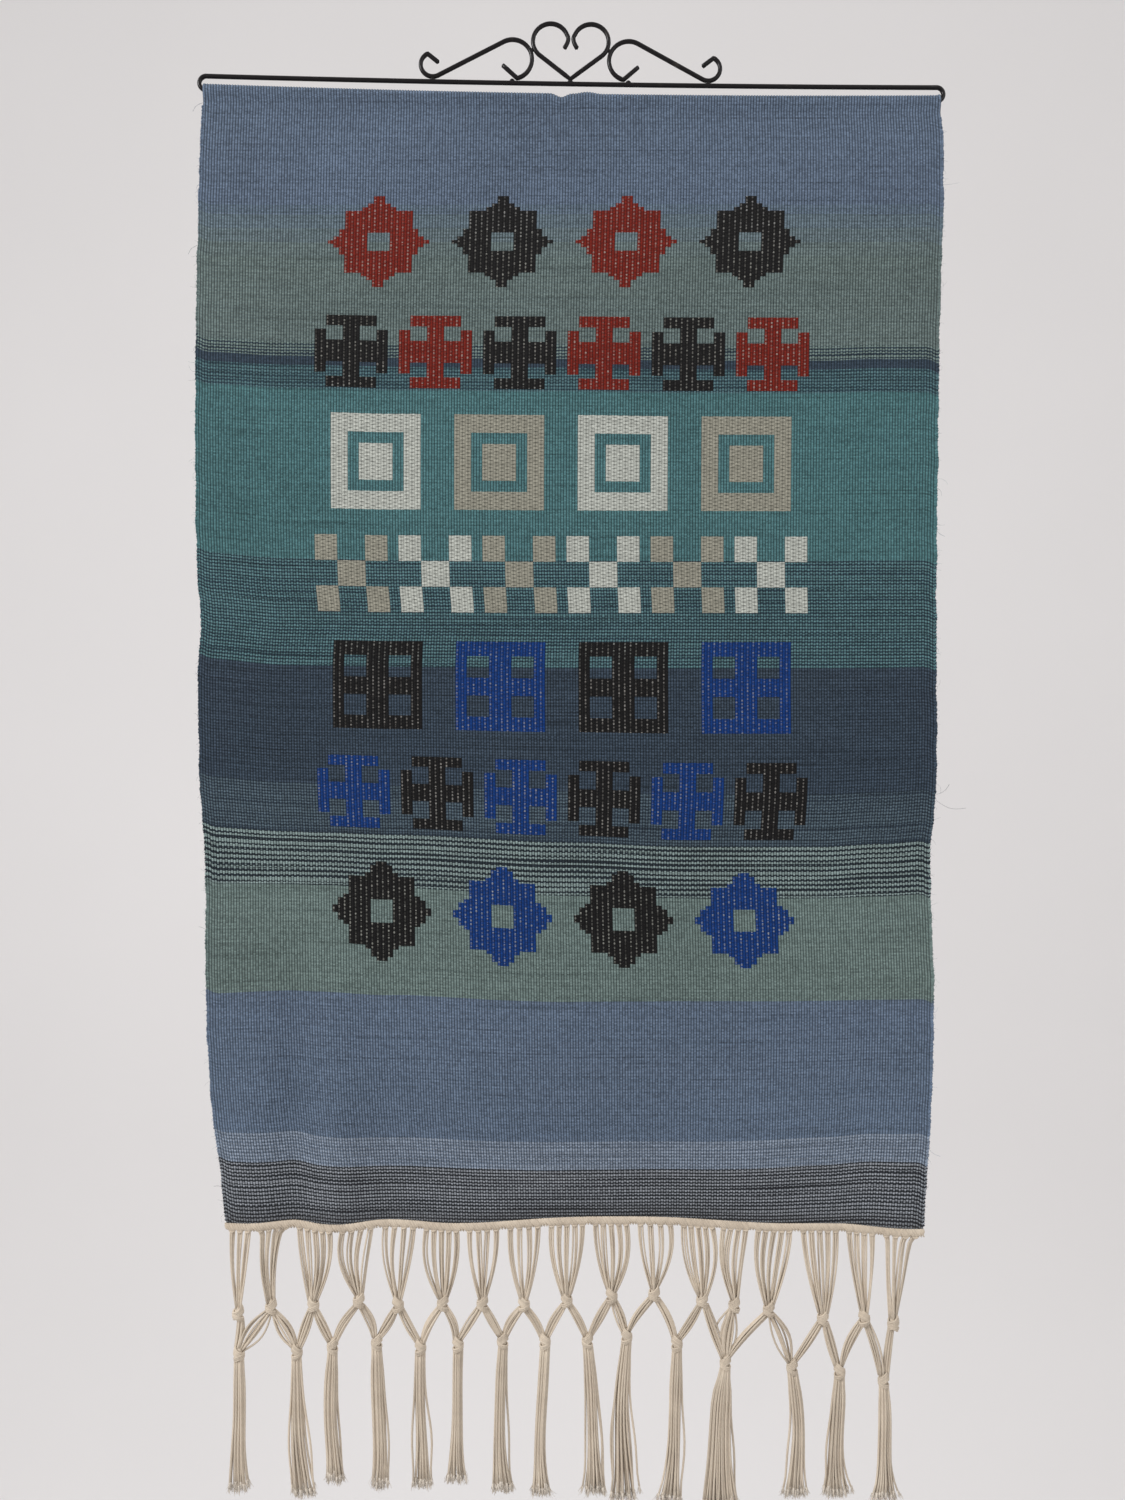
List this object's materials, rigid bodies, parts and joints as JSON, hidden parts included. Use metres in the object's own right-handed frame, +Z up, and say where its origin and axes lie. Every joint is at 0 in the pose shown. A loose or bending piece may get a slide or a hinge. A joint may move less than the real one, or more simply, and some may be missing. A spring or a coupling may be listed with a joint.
{
  "type": "wool wall hanging on a bent wire hanger",
  "caption": "Weft-faced wool cloth with a banded ground, inlaid figures and a knotted cotton fringe, hung by its top sleeve on a bent wire hanger with a heart and scrolls.",
  "frame": {"origin": "the notch between the two lobes of the hanger's heart, by which the hanging is held up", "axes": "+Z up, +X to the right as seen from the front; the front faces -Y"},
  "size_m": [0.5004, 0.0111, 0.9917],
  "materials": {
    "wool": "matt, ribbed weft-faced weave in blue-grey, grey-green, teal, slate and charcoal bands",
    "cotton": "matt, twisted natural cotton thread",
    "lacquered_steel": "black lacquer, semi-gloss"
  },
  "bodies": {
    "root": {"bar": "lacquered_steel", "heart": "lacquered_steel", "scroll_left": "lacquered_steel", "scroll_right": "lacquered_steel", "cloth": "wool", "fringe": "cotton"}
  },
  "joints": []
}
